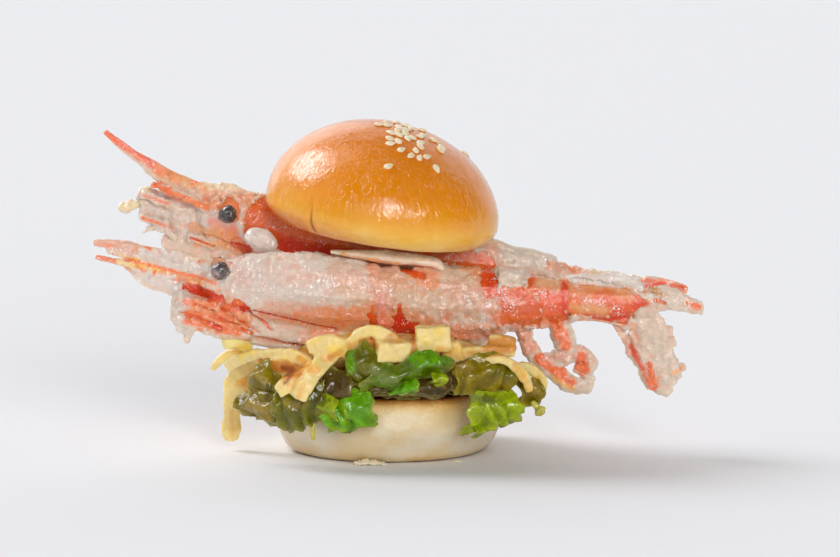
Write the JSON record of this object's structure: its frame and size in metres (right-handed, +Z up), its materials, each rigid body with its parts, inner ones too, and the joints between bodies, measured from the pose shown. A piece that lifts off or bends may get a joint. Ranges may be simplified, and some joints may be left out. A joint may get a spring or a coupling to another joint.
{
  "type": "shrimp burger",
  "caption": "Small round-bun burger with whole crisp-fried shrimps across it, over omelette strips and ruffled lettuce.",
  "frame": {"origin": "middle of the bottom bun's flat base, which rests on the table", "axes": "+Z up; +X towards the shrimps' tails; +Y towards the back, so the served side faces -Y"},
  "size_m": [0.1778, 0.0791, 0.0962],
  "materials": {
    "crumb": "matte pale baked dough, browned along the cut",
    "leaf": "glossy wilted green leaf with olive and fresh green patches",
    "omelette": "soft pale yellow egg, browned on its faces",
    "batter": "rough pale starch coating with orange-red shell showing through",
    "eye": "glossy black",
    "crust": "egg-washed golden brown crust, pale at its lower edge"
  },
  "bodies": {
    "root": {"bun_bottom": "crumb", "lettuce": "leaf", "egg_strips": "omelette", "shrimp_front": "batter", "shrimp_front_eye_near": "eye", "shrimp_front_eye_far": "eye", "shrimp_back": "batter", "shrimp_back_eye_near": "eye", "shrimp_back_eye_far": "eye", "bun_top": "crust"}
  },
  "joints": []
}
